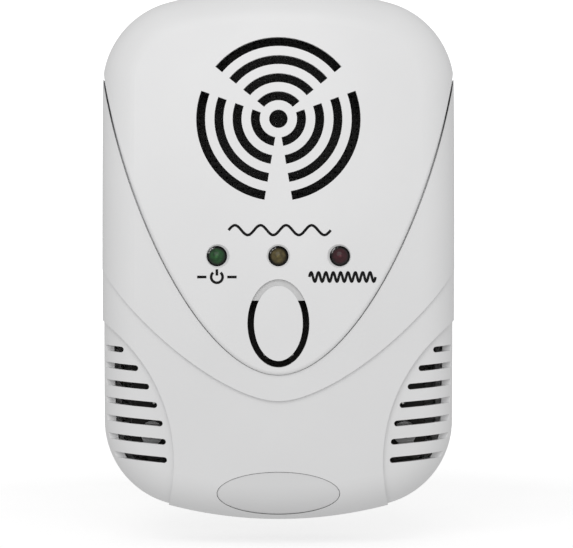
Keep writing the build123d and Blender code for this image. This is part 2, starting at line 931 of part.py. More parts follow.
def electrolytic_cans():
    cans = []
    high = board_rear - part_standoff
    groove_high, groove_low = [high - depth for depth in can_groove]
    for place in can_places:
        x, y = below(part_row, place)
        can = disc(can_radius, high - can_height, high, x, y)
        can = fillet(can.edges(), radius=can_edge_radius)
        cans.append(can - tube(can_radius + 1, can_radius - can_groove_depth, groove_low, groove_high, x, y))
    return cans


def axial_bodies(places):
    """Round bodies lying along x just behind the board."""
    bodies = []
    for x, y, radius, length in places:
        body = Cylinder(radius, length, rotation=(0, 90, 0))
        body = fillet(body.edges(), radius=radius * axial_end_round)
        bodies.append(Pos(x, y, board_rear - part_standoff - radius) * body)
    return bodies


def transistors():
    """D-shaped bodies standing on three leads."""
    bodies = []
    for place in transistor_places:
        x, y = below(part_row, place)
        flat = Rectangle(3 * transistor_radius, 2 * transistor_radius)
        section = Circle(transistor_radius) - Pos(0, -transistor_radius - transistor_flat) * flat
        high = board_rear - transistor_standoff
        bodies.append(bar(Pos(x, y) * section, high - transistor_height, high))
    return bodies


def control_chip():
    x, y = below(lamp_y, chip_place)
    high = board_rear - chip_standoff
    low = high - chip_size[2]
    radius, depth = chip_notch
    notch = disc(radius, low - 1, low + depth, x - chip_size[0] / 2, y)
    return Pos(x, y, (low + high) / 2) * Box(*chip_size) - notch


def chip_legs():
    """Flat legs that step out from the chip's sides and pass through the board."""
    cx, cy = below(lamp_y, chip_place)
    width, thick = chip_lead_size
    level = board_rear - chip_standoff - chip_size[2] / 2
    legs = []
    for x, y in chip_lead_points():
        side = 1 if y > cy else -1
        inner = cy + side * chip_size[1] / 2
        outer = y + side * thick / 2
        foot = Pos(x, (inner + outer) / 2, level) * Box(width * chip_shoulder, abs(outer - inner), thick)
        high = board_front + lead_tail
        legs.append(foot + Pos(x, y, (level + high) / 2) * Box(width * chip_pin, thick, high - level))
    return legs


# ---------------------------------------------------------------- sounder
def dust_cloth():
    return disc(sounder_radius - cloth_inset, cloth_rear, sounder_seat, 0, grille_y)


def sounder_frame():
    """Flange with four ears and a horn that narrows to the throat."""
    top = cloth_rear
    low = top - sounder_flange
    throat = cap_front + sounder_throat_length
    section = [
        (sounder_mouth_radius, top),
        (sounder_radius, top),
        (sounder_radius, low),
        (sounder_mouth_radius + sounder_wall, low),
        (sounder_throat_radius + sounder_wall, throat),
        (sounder_throat_radius + sounder_wall, cap_front),
        (sounder_throat_radius, cap_front),
        (sounder_throat_radius, throat),
    ]
    frame = turned(section, 0, grille_y)
    for x, y in sounder_screw_points():
        root = Pos(x * sounder_ear_root, grille_y + (y - grille_y) * sounder_ear_root)
        ends = Pos(x, y) * Circle(small_boss_radius) + root * Circle(small_boss_radius)
        ear = make_hull(ends.edges())
        ear -= Pos(x, y) * Circle(small_screw_radius + screw_hole_clearance)
        ear -= Pos(0, grille_y) * Circle(sounder_mouth_radius + sounder_rim_clearance)
        frame += bar(ear, low, top)
    return frame


def speaker_cone():
    """Stiff cone inside the horn, clear of its wall, standing on the disc."""
    top = cloth_rear - cone_below_mouth
    foot = disc_rear + brass_thickness + ceramic_thickness
    wide = sounder_mouth_radius - cone_rim_gap
    section = [
        (cone_foot_radius, foot),
        (cone_foot_radius + cone_thickness, foot),
        (wide, top),
        (wide - cone_thickness, top),
    ]
    return turned(section, 0, grille_y)


def piezo_disc():
    return disc(sounder_throat_radius - disc_clearance, disc_rear, disc_rear + brass_thickness, 0, grille_y)


def piezo_ceramic():
    low = disc_rear + brass_thickness
    return disc(ceramic_radius, low, low + ceramic_thickness, 0, grille_y)


def speaker_cap():
    """Rear cap that closes the throat and presses the disc."""
    cap = disc(sounder_throat_radius + sounder_wall, cap_front - cap_thickness, cap_front, 0, grille_y)
    cap = fillet(cap.faces().sort_by(Axis.Z)[0].edges(), radius=cap_edge_radius)
    outer = sounder_throat_radius - disc_clearance
    return cap + tube(outer, outer - cap_ring, cap_front, disc_rear, 0, grille_y)


# ---------------------------------------------------------------- coil
def coil_centre():
    return board_bottom + coil_above_board_bottom, board_rear - part_standoff - coil_flange_radius


def along_x(solid):
    y, z = coil_centre()
    return Pos(0, y, z) * Rot(0, 90, 0) * solid


def coil_bobbin():
    bobbin = Cylinder(coil_tube_radius, coil_length)
    for side in (-1, 1):
        flange = Cylinder(coil_flange_radius, coil_flange_thickness)
        bobbin += Pos(0, 0, side * (coil_length - coil_flange_thickness) / 2) * flange
    return along_x(bobbin - Cylinder(coil_core_radius + coil_core_clearance, coil_length + 2))


def coil_winding():
    block = Cylinder(coil_winding_radius, coil_length - 2 * coil_flange_thickness)
    return along_x(block - Cylinder(coil_tube_radius, coil_length))


def coil_core():
    core = Cylinder(coil_core_radius, coil_length + 2 * coil_core_overhang)
    return along_x(chamfer(core.edges(), length=coil_core_chamfer))


def coil_leads():
    """Wire ends that leave the winding's ends over the flanges and turn into the board."""
    y = coil_centre()[0]
    level = board_rear - coil_lead_behind_board
    ends = []
    for side in (-1, 1):
        x = side * (coil_length / 2 + coil_lead_reach)
        points = [(side * coil_length / 2, y, level), (x, y, level), (x, y, board_front + lead_tail)]
        ends.append(route(points, lead_radius, coil_lead_bend))
    return ends


# ---------------------------------------------------------------- wires
def mains_wire(x, pad):
    """Insulated wire from a pin's tail to its pad."""
    start = clamp_seat + pin_tail
    level = start + wire_bend + wire_rise
    points = [(x, 0, start), (x, 0, level), (*pad, level), (*pad, board_rear)]
    return route(points, wire_radius, wire_bend)


def mains_tail(pad):
    return disc(lead_radius, board_rear, board_front + lead_tail, *pad)


def speaker_header():
    high = board_rear - part_standoff
    block = Pos(0, pad_y, high - header_size[2] / 2) * Box(*header_size)
    return chamfer(block.edges().filter_by(Axis.Z), length=header_chamfer)


def speaker_wires():
    """Two thin wires from the sounder's terminals to the header."""
    wires = []
    cap = cap_front - cap_thickness
    level = cap - wire_bend - thin_wire_drop
    header = board_rear - part_standoff - header_size[2]
    for side in (-1, 1):
        terminal = (side * terminal_spacing / 2, grille_y - terminals_below_centre)
        socket = (side * lead_pitch / 2, pad_y)
        points = [(*terminal, cap), (*terminal, level), (*socket, level), (*socket, header)]
        wires.append(route(points, thin_wire_radius, wire_bend))
    return wires


# ---------------------------------------------------------------- all nodes
def as_group(solids):
    return Compound(children=list(solids))


def nodes():
    left, right = pin_places()
    fuse, *rest = axial_places()
    live_pad, neutral_pad = wire_pads()
    yield "front_shell", front_shell()
    yield "front_shield", front_shield()
    yield "button_flap", button_flap()
    yield "button_hinge_web", button_hinge_web()
    yield "badge_plate", badge_plate()
    yield "rear_shell", rear_shell()
    yield "rating_label", rating_label()
    yield "live_pin", plug_pin(left)
    yield "neutral_pin", plug_pin(right)
    yield "pin_sleeves", pin_sleeves()
    yield "pin_clamp_plate", pin_clamp_plate()
    yield "clamp_screws", as_group(clamp_screws())
    yield "case_screws", as_group(case_screws())
    yield "board_screws", as_group(board_screws())
    yield "speaker_screws", as_group(sounder_screws())
    yield "main_board", main_board()
    yield "led_power", lamp(0)
    yield "led_magnetic", lamp(1)
    yield "led_ultrasonic", lamp(2)
    yield "led_spacers", led_spacers()
    yield "component_leads", as_group(component_leads())
    yield "solder_joints", as_group(solder_joints())
    yield "switch_body", switch_body()
    yield "switch_cover", switch_cover()
    yield "switch_plunger", switch_plunger()
    yield "film_capacitor", film_capacitor()
    yield "electrolytic_cans", as_group(electrolytic_cans())
    yield "fuse_body", as_group(axial_bodies([fuse]))
    yield "diodes", as_group(axial_bodies(rest[:axial_rows]))
    yield "resistors", as_group(axial_bodies(rest[axial_rows:]))
    yield "transistors", as_group(transistors())
    yield "control_chip", control_chip()
    yield "chip_legs", as_group(chip_legs())
    yield "dust_cloth", dust_cloth()
    yield "speaker_frame", sounder_frame()
    yield "speaker_cone", speaker_cone()
    yield "piezo_disc", piezo_disc()
    yield "piezo_ceramic", piezo_ceramic()
    yield "speaker_cap", speaker_cap()
    yield "speaker_header", speaker_header()
    yield "speaker_wires", as_group(speaker_wires())
    yield "coil_bobbin", coil_bobbin()
    yield "coil_winding", coil_winding()
    yield "coil_core", coil_core()
    yield "coil_leads", as_group(coil_leads())
    yield "live_wire", mains_wire(left, live_pad)
    yield "neutral_wire", mains_wire(right, neutral_pad)
    yield "wire_ends", as_group([mains_tail(live_pad), mains_tail(neutral_pad)])


def save(name, shape):
    """Stands the part up, with z out of the wall turned to -Y, and writes it."""
    export_step(Rot(90, 0, 0) * shape, f"parts/{name}.step")


os.makedirs("parts", exist_ok=True)
for node_name, node_shape in nodes():
    save(node_name, node_shape)
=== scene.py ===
import math

import bmesh
import bpy
import numpy as np
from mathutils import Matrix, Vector


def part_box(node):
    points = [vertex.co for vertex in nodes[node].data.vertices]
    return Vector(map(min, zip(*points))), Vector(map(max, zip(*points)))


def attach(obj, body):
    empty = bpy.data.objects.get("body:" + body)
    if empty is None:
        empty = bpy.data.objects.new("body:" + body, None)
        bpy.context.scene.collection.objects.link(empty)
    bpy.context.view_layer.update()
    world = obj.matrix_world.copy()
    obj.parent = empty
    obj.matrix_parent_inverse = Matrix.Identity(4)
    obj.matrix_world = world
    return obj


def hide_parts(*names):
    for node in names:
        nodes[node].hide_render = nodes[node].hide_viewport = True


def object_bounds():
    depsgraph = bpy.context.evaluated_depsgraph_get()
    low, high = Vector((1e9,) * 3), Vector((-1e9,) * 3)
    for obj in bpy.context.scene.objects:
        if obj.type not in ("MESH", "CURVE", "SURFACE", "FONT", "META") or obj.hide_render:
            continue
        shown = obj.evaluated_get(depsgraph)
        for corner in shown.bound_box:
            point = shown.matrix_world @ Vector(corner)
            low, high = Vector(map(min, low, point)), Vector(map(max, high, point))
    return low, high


# Looks of a plug-in ultrasonic and electromagnetic pest repeller, in metres.
# +Z is up, +X is to the right of someone facing it, and +Y points into the wall.

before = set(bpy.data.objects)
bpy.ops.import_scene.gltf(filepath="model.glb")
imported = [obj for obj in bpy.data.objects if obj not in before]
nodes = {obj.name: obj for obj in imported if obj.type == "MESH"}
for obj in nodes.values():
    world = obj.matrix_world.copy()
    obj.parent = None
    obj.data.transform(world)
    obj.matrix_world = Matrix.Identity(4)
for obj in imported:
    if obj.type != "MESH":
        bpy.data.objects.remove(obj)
cad_low, cad_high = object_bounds()

MM = 0.001

# ---- The crowned face: part of a ball stretched along the body
crown_radius = 200 * MM
crown_stretch = 1.58
crown_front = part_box("front_shield")[0].y

# ---- Printed marks beside the lamps and on the label
ink_thickness = 0.04 * MM
ink_line = 0.62 * MM
low_wave = {"width": 24.0 * MM, "height": 2.3 * MM, "count": 4}
high_wave = {"width": 15.6 * MM, "height": 2.2 * MM, "count": 9}
mark_above_lamps = 6.1 * MM
mark_below_lamps = 4.9 * MM
magnetic_mark_aside = 0.3 * MM
ultrasonic_mark_aside = 0.6 * MM
power_mark_radius = 1.35 * MM
power_mark_turn = (130, 410)
power_mark_stem = (0.25, 1.35)
power_dash = 2.2 * MM
power_dash_gap = 1.1 * MM
label_line = 0.35 * MM
label_inset = 1.6 * MM
label_border_radius = 1.2 * MM
label_rules = (-0.25, 0.3)
label_rule_ends = (-0.86, 0.3)
label_square_place = 0.66
label_squares = (1.6 * MM, 2.9 * MM)
label_square_radius = 0.2 * MM

# ---- Woven dust cloth
thread_pitch = 1.3 * MM
thread_half_width = 0.46 * MM
thread_sway = 0.1 * MM
thread_half_thickness = 0.09 * MM
thread_columns = 6

# ---- Coil
coil_wire_radius = 0.25 * MM
coil_tube_radius = 4.2 * MM
coil_columns = 7
coil_steps_per_turn = 28
coil_core_steps = 72

# ---- View and light
camera_distance = 0.55
field_width = 0.1404
sensor = 36.0
camera_shift = (0.01414, -0.0349)
floor_drop = 6.2 * MM
floor_reach = 0.6
floor_lines = 9
floor_glow = 0.48
floor_fade = (0.12, 0.45)
room_light_below = 0.71
room_light_above = 0.60
backdrop_light = 1.3


# ---------------------------------------------------------------- mesh helpers
def mesh_piece(name, points, faces, body, finish, smooth=True):
    """A new piece from an array of points and a list of faces, with its faces turned outwards."""
    mesh = bpy.data.meshes.new(name)
    mesh.from_pydata(np.asarray(points, float).reshape(-1, 3).tolist(), [], faces)
    work = bmesh.new()
    work.from_mesh(mesh)
    bmesh.ops.recalc_face_normals(work, faces=work.faces)
    work.to_mesh(mesh)
    work.free()
    mesh.polygons.foreach_set("use_smooth", np.full(len(mesh.polygons), smooth))
    piece = bpy.data.objects.new(name, mesh)
    bpy.context.scene.collection.objects.link(piece)
    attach(piece, body)
    mesh.materials.append(finish.material)
    return piece


def grid_faces(rows, columns, wrap_rows=False, wrap_columns=False):
    """Quads of a grid of rows by columns points, joined round where it wraps."""
    r = np.arange(rows if wrap_rows else rows - 1)
    c = np.arange(columns if wrap_columns else columns - 1)
    r, c = np.meshgrid(r, c, indexing="ij")
    r2 = (r + 1) % rows
    c2 = (c + 1) % columns
    quads = np.stack([r * columns + c, r * columns + c2, r2 * columns + c2, r2 * columns + c], axis=-1)
    return quads.reshape(-1, 4)


def rod_faces(rods, rows, columns):
    """Faces of several closed rods of one size: each is rows of rings of columns points, with two caps."""
    size = rows * columns
    starts = np.arange(rods)[:, None, None] * size
    sides = (grid_faces(rows, columns, wrap_columns=True)[None] + starts).reshape(-1, 4)
    ring = np.arange(columns)
    caps = np.stack([ring[::-1], ring + size - columns])[None] + starts
    return sides.tolist() + caps.reshape(-1, columns).tolist()


def middle(name):
    """Centre of a CAD node's box."""
    low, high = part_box(name)
    return (low + high) / 2


# ---------------------------------------------------------------- material helpers
def rgb(r, g, b):
    """Opaque colour."""
    return (r, g, b, 1.0)


class Finish:
    """A material under construction, with short calls for its nodes."""

    def __init__(self, name, **values):
        self.material = bpy.data.materials.new(name)
        self.material.use_nodes = True
        self.tree = self.material.node_tree
        self.shader = self.tree.nodes["Principled BSDF"]
        self.place = self.tree.nodes.new("ShaderNodeTexCoord").outputs["Object"]
        for socket, value in values.items():
            self.shader.inputs[socket.replace("_", " ")].default_value = value

    def node(self, kind, **inputs):
        """A new node, with each named input linked or set."""
        made = self.tree.nodes.new(kind)
        for name, value in inputs.items():
            socket = made.inputs[name.replace("_", " ")]
            if isinstance(value, bpy.types.NodeSocket):
                self.tree.links.new(value, socket)
            else:
                socket.default_value = value
        return made

    def link(self, output, name):
        """Joins an output to one of the shader's inputs."""
        self.tree.links.new(output, self.shader.inputs[name])

    def noise(self, scale, detail=4.0, roughness=0.55, stretch=(1, 1, 1)):
        """Cloudy value from 0 to 1, finer along an axis with a larger stretch."""
        place = self.node("ShaderNodeMapping", Vector=self.place, Scale=stretch).outputs["Vector"]
        grain = {"Scale": scale, "Detail": detail, "Roughness": roughness}
        return self.node("ShaderNodeTexNoise", Vector=place, **grain).outputs["Fac"]

    def ramp(self, value, stops, interpolation="LINEAR"):
        """Colours between stops of (position, colour)."""
        node = self.node("ShaderNodeValToRGB", Fac=value)
        ramp = node.color_ramp
        ramp.interpolation = interpolation
        for i, (position, colour) in enumerate(stops):
            element = ramp.elements[i] if i < 2 else ramp.elements.new(position)
            element.position = position
            element.color = colour
        return node.outputs["Color"]

    def range(self, value, low, high, start=0.0, end=1.0):
        """Value from start to end carried over to low to high, and held there beyond them."""
        span = {"From_Min": start, "From_Max": end, "To_Min": low, "To_Max": high}
        return self.node("ShaderNodeMapRange", Value=value, **span).outputs["Result"]

    def mix(self, factor, under, over, blend="MIX"):
        """Colour under where factor is 0, over blended onto it where it is 1."""
        node = self.tree.nodes.new("ShaderNodeMix")
        node.data_type = "RGBA"
        node.blend_type = blend
        colour_a, colour_b = node.inputs[6], node.inputs[7]
        for socket, value in ((node.inputs["Factor"], factor), (colour_a, under), (colour_b, over)):
            if isinstance(value, bpy.types.NodeSocket):
                self.tree.links.new(value, socket)
            else:
                socket.default_value = value
        return node.outputs[2]

    def times(self, first, second):
        """Product of two values."""
        node = self.tree.nodes.new("ShaderNodeMath")
        node.operation = "MULTIPLY"
        self.tree.links.new(first, node.inputs[0])
        self.tree.links.new(second, node.inputs[1])
        return node.outputs["Value"]

    def distance(self, centre, scale):
        """Distance from a point after each axis is multiplied by its scale."""
        shift = tuple(-c * s for c, s in zip(centre, scale))
        place = self.node("ShaderNodeMapping", Vector=self.place, Scale=scale, Location=shift)
        length = self.tree.nodes.new("ShaderNodeVectorMath")
        length.operation = "LENGTH"
        self.tree.links.new(place.outputs["Vector"], length.inputs[0])
        return length.outputs["Value"]

    def bump(self, height, strength, distance):
        """Small relief on the surface, with distance the height in metres of a value of 1."""
        node = self.node("ShaderNodeBump", Height=height, Strength=strength, Distance=distance)
        self.link(node.outputs["Normal"], "Normal")


# ---------------------------------------------------------------- finishes
def moulded(name, base, dark, roughness, grain=2600.0, depth=0.000012, **values):
    """Moulded plastic: faint cloudy colour, a fine spark-eroded grain and uneven gloss."""
    finish = Finish(name, **values)
    finish.link(finish.ramp(finish.noise(38.0, 3.0), [(0.3, dark), (0.7, base)]), "Base Color")
    finish.link(finish.range(finish.noise(160.0, 3.0), roughness - 0.05, roughness + 0.06), "Roughness")
    finish.bump(finish.noise(grain, 2.0), 0.35, depth)
    return finish


def metal(name, base, dark, roughness, stretch=(1, 1, 1), depth=0.000004):
    """Metal with fine drawn or turned lines and small dull patches."""
    finish = Finish(name, Metallic=1.0)
    patches = finish.noise(90.0, 5.0, stretch=stretch)
    finish.link(finish.ramp(patches, [(0.35, dark), (0.65, base)]), "Base Color")
    low, high = roughness - 0.07, roughness + 0.1
    finish.link(finish.range(finish.noise(400.0, 4.0, stretch=stretch), low, high), "Roughness")
    finish.bump(finish.noise(1500.0, 2.0, stretch=stretch), 0.3, depth)
    return finish


def lens(name, node, bright, body, rim_shade):
    """Tinted lens: a paler cup in the middle, the lamp's colour round it, a dark rim of painted shade, and
    short painted glints, white in the base colour, along the upper left of the rim."""
    finish = Finish(name, Coat_Weight=0.12, Coat_Roughness=0.05, IOR=1.45, Specular_IOR_Level=0.25)
    low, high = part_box(node)
    reach = 2.0 / (high.x - low.x)
    radial = finish.distance(middle(node), (reach, 0.0, reach))
    # The dark rim is painted shade: the stops darken the lens to near-black towards its rim.
    stops = [(0.0, bright), (0.20, body), (0.48, body), (0.62, rim_shade), (0.70, rgb(0.003, 0.003, 0.003))]
    cup = finish.ramp(radial, stops)
    mottle = finish.ramp(finish.noise(900.0, 3.0), [(0.35, rgb(0.3, 0.3, 0.3)), (0.65, rgb(1.4, 1.4, 1.4))])
    tinted = finish.mix(0.6, cup, mottle, "MULTIPLY")
    # Painted highlight: short white dashes in the base colour at the upper left of the rim stand in for
    # glints.
    upper_left = middle(node) + Vector((-0.55, 0.0, 0.55)) / reach
    near = finish.range(finish.distance(upper_left, (reach, 0.0, reach)), 1.0, 0.0, 0.30, 0.42)
    outside = finish.range(radial, 0.0, 1.0, 0.66, 0.70)
    inside = finish.range(radial, 1.0, 0.0, 0.76, 0.80)
    dashes = finish.range(finish.noise(2600.0, 1.0), 0.0, 1.0, 0.47, 0.53)
    painted_glint = finish.times(finish.times(near, outside), finish.times(inside, dashes))
    finish.link(finish.mix(painted_glint, tinted, rgb(0.9, 0.9, 0.9)), "Base Color")
    finish.link(finish.range(finish.noise(300.0, 2.0), 0.22, 0.35), "Roughness")
    return finish


def striped(name, base, bands, node, roughness=0.3):
    """Lacquered bodies lying along x in one column, with bands of (start, end, colour) as length shares."""
    finish = Finish(name, Coat_Weight=0.6, Coat_Roughness=0.1)
    low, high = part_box(node)
    across = finish.node("ShaderNodeSeparateXYZ", Vector=finish.place).outputs["X"]
    share = finish.range(across, 0.0, 1.0, low.x, high.x)
    stops = [(0.0, base)]
    for start, end, colour in bands:
        stops += [(start, colour), (end, base)]
    finish.link(finish.ramp(share, stops, "CONSTANT"), "Base Color")
    finish.link(finish.range(finish.noise(500.0, 3.0), roughness - 0.08, roughness + 0.1), "Roughness")
    finish.bump(finish.noise(900.0, 3.0), 0.3, 0.00001)
    return finish


def board_painted_dark():
    """Board painted near-black for the shade seen through the vents, with the fibres showing faintly."""
    finish = Finish("board_painted_dark", Roughness=0.5, Coat_Weight=0.15, Coat_Roughness=0.3)
    fibres = finish.noise(300.0, 6.0, stretch=(1.0, 1.0, 6.0))
    stops = [(0.3, rgb(0.008, 0.007, 0.006)), (0.7, rgb(0.018, 0.014, 0.011))]
    finish.link(finish.ramp(fibres, stops), "Base Color")
    finish.bump(fibres, 0.2, 0.00001)
    return finish


def threads():
    """Dull black thread with a little lint."""
    finish = Finish("black_thread", Sheen_Weight=0.15, Sheen_Roughness=0.5)
    lint = finish.noise(1400.0, 5.0, 0.7)
    stops = [(0.35, rgb(0.004, 0.004, 0.004)), (0.62, rgb(0.02, 0.02, 0.02)), (0.8, rgb(0.09, 0.09, 0.09))]
    finish.link(finish.ramp(lint, stops), "Base Color")
    finish.link(finish.range(lint, 0.7, 0.95), "Roughness")
    finish.bump(lint, 0.6, 0.00004)
    return finish


def wound_copper():
    """Enamelled copper wire, darker where the enamel is thick."""
    finish = Finish("enamelled_copper", Metallic=0.85, Coat_Weight=0.7, Coat_Roughness=0.1)
    patches = finish.noise(500.0, 4.0, stretch=(4.0, 1.0, 1.0))
    stops = [(0.3, rgb(0.33, 0.10, 0.03)), (0.7, rgb(0.62, 0.24, 0.08))]
    finish.link(finish.ramp(patches, stops), "Base Color")
    finish.link(finish.range(patches, 0.22, 0.4), "Roughness")
    return finish


def sheet_label():
    """Satin film with a faint orange-peel surface."""
    finish = Finish("label_film", Coat_Weight=0.4, Coat_Roughness=0.25)
    cloud = finish.noise(60.0, 3.0)
    stops = [(0.3, rgb(0.74, 0.74, 0.72)), (0.7, rgb(0.80, 0.80, 0.78))]
    finish.link(finish.ramp(cloud, stops), "Base Color")
    finish.link(finish.range(cloud, 0.32, 0.42), "Roughness")
    finish.bump(finish.noise(700.0, 2.0), 0.3, 0.00001)
    return finish


def grey(level, tint=0.0):
    """Grey with a little more blue."""
    return rgb(level, level, level + tint)


def dress(finish, *names):
    """Gives CAD nodes a finish in their own material slots, and returns it."""
    for name in names:
        for slot in nodes[name].material_slots:
            slot.material = finish.material
    return finish


white = moulded("white_shell", grey(0.735, 0.003), grey(0.715, 0.003), 0.40)
dress(white, "front_shell", "rear_shell")
hood = moulded("white_hood", grey(0.75, 0.003), grey(0.73, 0.003), 0.38, grain=2200.0)
dress(hood, "front_shield", "button_flap")
dress(moulded("shaded_web", grey(0.62), grey(0.58), 0.5), "button_hinge_web")
badge = moulded("white_badge", grey(0.70, 0.003), grey(0.68, 0.003), 0.22, grain=900.0, depth=0.000006)
dress(badge, "badge_plate")
dress(sheet_label(), "rating_label")
nickel = metal("nickel_pin", rgb(0.80, 0.76, 0.68), rgb(0.68, 0.64, 0.56), 0.24, (1.0, 8.0, 1.0))
dress(nickel, "live_pin", "neutral_pin")
dress(moulded("pin_sleeve_black", grey(0.03), grey(0.02), 0.45), "pin_sleeves")
dress(moulded("clamp_grey", grey(0.12), grey(0.09), 0.5), "pin_clamp_plate")
zinc = metal("zinc_screw", rgb(0.70, 0.71, 0.74), rgb(0.50, 0.51, 0.55), 0.32, (2.0, 1.0, 2.0))
dress(zinc, "clamp_screws", "case_screws", "speaker_screws")
# Painted shade: the board screws seen through the vents are made near-black.
dress(metal("board_screw_painted_dark", grey(0.05), grey(0.02), 0.5), "board_screws")
# Painted shade: the board behind the vents is made near-black so the slots look dark.
dress(board_painted_dark(), "main_board")
# Each lamp's colours: its paler cup, its lens body, and the painted shade of its rim.
green = (rgb(0.05, 0.17, 0.055), rgb(0.016, 0.066, 0.020), rgb(0.008, 0.03, 0.010))
amber = (rgb(0.20, 0.16, 0.05), rgb(0.085, 0.066, 0.024), rgb(0.035, 0.028, 0.012))
red = (rgb(0.12, 0.03, 0.04), rgb(0.042, 0.010, 0.014), rgb(0.018, 0.005, 0.007))
dress(lens("green_lens", "led_power", *green), "led_power")
dress(lens("amber_lens", "led_magnetic", *amber), "led_magnetic")
dress(lens("red_lens", "led_ultrasonic", *red), "led_ultrasonic")
black = moulded("black_moulding", grey(0.014), grey(0.009), 0.5)
dress(black, "led_spacers", "switch_body", "speaker_frame", "speaker_cap", "coil_bobbin")
dress(moulded("dark_plunger", grey(0.05), grey(0.035), 0.35), "switch_plunger")
tinned = metal("tinned_wire", rgb(0.78, 0.78, 0.76), rgb(0.60, 0.60, 0.58), 0.22, (1.0, 6.0, 1.0))
dress(tinned, "component_leads", "chip_legs", "wire_ends")
solder = metal("bright_solder", rgb(0.75, 0.75, 0.77), rgb(0.55, 0.55, 0.57), 0.18, depth=0.00002)
dress(solder, "solder_joints")
# Painted shade: the switch cover seen through the button slot is made dark.
dress(metal("steel_painted_dark", grey(0.10), grey(0.06), 0.4, (6.0, 1.0, 1.0)), "switch_cover")
dress(moulded("film_box_yellow", rgb(0.62, 0.42, 0.04), rgb(0.52, 0.34, 0.03), 0.28), "film_capacitor")
can_sleeve = moulded("can_sleeve_blue", rgb(0.02, 0.03, 0.09), rgb(0.012, 0.018, 0.06), 0.25, grain=500.0)
dress(can_sleeve, "electrolytic_cans")
resistor_bands = [(0.18, 0.25, rgb(0.25, 0.06, 0.01)), (0.36, 0.43, rgb(0.01, 0.01, 0.01))]
resistor_bands += [(0.54, 0.61, rgb(0.55, 0.06, 0.02)), (0.78, 0.85, rgb(0.55, 0.38, 0.08))]
fuse_bands = [(0.08, 0.16, grey(0.3)), (0.84, 0.92, grey(0.3))]
dress(striped("green_fuse", rgb(0.08, 0.18, 0.10), fuse_bands, "fuse_body"), "fuse_body")
dress(striped("black_diode", grey(0.015), [(0.74, 0.88, grey(0.55))], "diodes"), "diodes")
dress(striped("tan_resistor", rgb(0.55, 0.38, 0.20), resistor_bands, "resistors"), "resistors")
dress(moulded("black_epoxy", grey(0.018), grey(0.012), 0.55, grain=3500.0), "transistors", "control_chip")
dress(threads(), "dust_cloth")
dress(metal("pressed_foil", rgb(0.70, 0.70, 0.71), rgb(0.55, 0.55, 0.56), 0.3), "speaker_cone")
dress(metal("brass_disc", rgb(0.72, 0.52, 0.22), rgb(0.58, 0.40, 0.15), 0.28), "piezo_disc")
dress(moulded("silvered_ceramic", rgb(0.70, 0.69, 0.64), rgb(0.60, 0.59, 0.55), 0.3), "piezo_ceramic")
dress(moulded("ivory_header", rgb(0.72, 0.70, 0.62), rgb(0.66, 0.64, 0.56), 0.4), "speaker_header")
dress(moulded("red_insulation", rgb(0.45, 0.02, 0.02), rgb(0.38, 0.015, 0.015), 0.35), "speaker_wires")
dress(moulded("brown_insulation", rgb(0.14, 0.05, 0.02), rgb(0.11, 0.04, 0.015), 0.35), "live_wire")
dress(moulded("blue_insulation", rgb(0.02, 0.07, 0.30), rgb(0.015, 0.05, 0.24), 0.35), "neutral_wire")
dress(moulded("ground_ferrite", grey(0.06), grey(0.035), 0.6, grain=1800.0, depth=0.00003), "coil_core")
copper = dress(wound_copper(), "coil_winding", "coil_leads")
ink = moulded("black_print", grey(0.004), grey(0.008), 0.6, Specular_IOR_Level=0.1)


# ---------------------------------------------------------------- view, light and floor
front_low, front_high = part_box("front_shell")
silhouette_y = front_low.y * 0.1 + front_high.y * 0.9


def area_light(name, place, aim, size, power):
    """Square soft light at a place, turned to face the aim."""
    data = bpy.data.lights.new(name, "AREA")
    data.size = size
    data.energy = power
    light = bpy.data.objects.new(name, data)
    light.location = place
    light.rotation_euler = (Vector(aim) - Vector(place)).to_track_quat("-Z", "Y").to_euler()
    bpy.context.scene.collection.objects.link(light)


def camera():
    """Level view straight at the front, moved a little by a shift in shares of the picture's width."""
    data = bpy.data.cameras.new("camera")
    data.sensor_width = sensor
    data.lens = sensor * camera_distance / field_width
    data.shift_x, data.shift_y = camera_shift
    data.clip_start = 0.01
    view = bpy.data.objects.new("camera", data)
    view.location = (0, silhouette_y - camera_distance, 0)
    view.rotation_euler = (math.radians(90), 0, 0)
    bpy.context.scene.collection.objects.link(view)
    bpy.context.scene.camera = view


def room():
    """Pale light from all round, a little stronger from below, and a white backdrop seen only directly."""
    world = bpy.data.worlds.new("studio")
    world.use_nodes = True
    tree = world.node_tree
    lit = tree.nodes["Background"]
    lit.inputs["Color"].default_value = grey(1.0)
    direction = tree.nodes.new("ShaderNodeTexCoord")
    height = tree.nodes.new("ShaderNodeSeparateXYZ")
    strength = tree.nodes.new("ShaderNodeMapRange")
    span = {"From Min": -1, "From Max": 1, "To Min": room_light_below, "To Max": room_light_above}
    for socket, value in span.items():
        strength.inputs[socket].default_value = value
    tree.links.new(direction.outputs["Generated"], height.inputs["Vector"])
    tree.links.new(height.outputs["Z"], strength.inputs["Value"])
    tree.links.new(strength.outputs["Result"], lit.inputs["Strength"])
    seen = tree.nodes.new("ShaderNodeBackground")
    seen.inputs["Color"].default_value = grey(1.0)
    seen.inputs["Strength"].default_value = backdrop_light
    mix = tree.nodes.new("ShaderNodeMixShader")
    rays = tree.nodes.new("ShaderNodeLightPath")
    tree.links.new(rays.outputs["Is Camera Ray"], mix.inputs["Fac"])
    tree.links.new(lit.outputs["Background"], mix.inputs[1])
    tree.links.new(seen.outputs["Background"], mix.inputs[2])
    tree.links.new(mix.outputs["Shader"], tree.nodes["World Output"].inputs["Surface"])
    bpy.context.scene.world = world
    bpy.context.scene.view_settings.view_transform = "Standard"


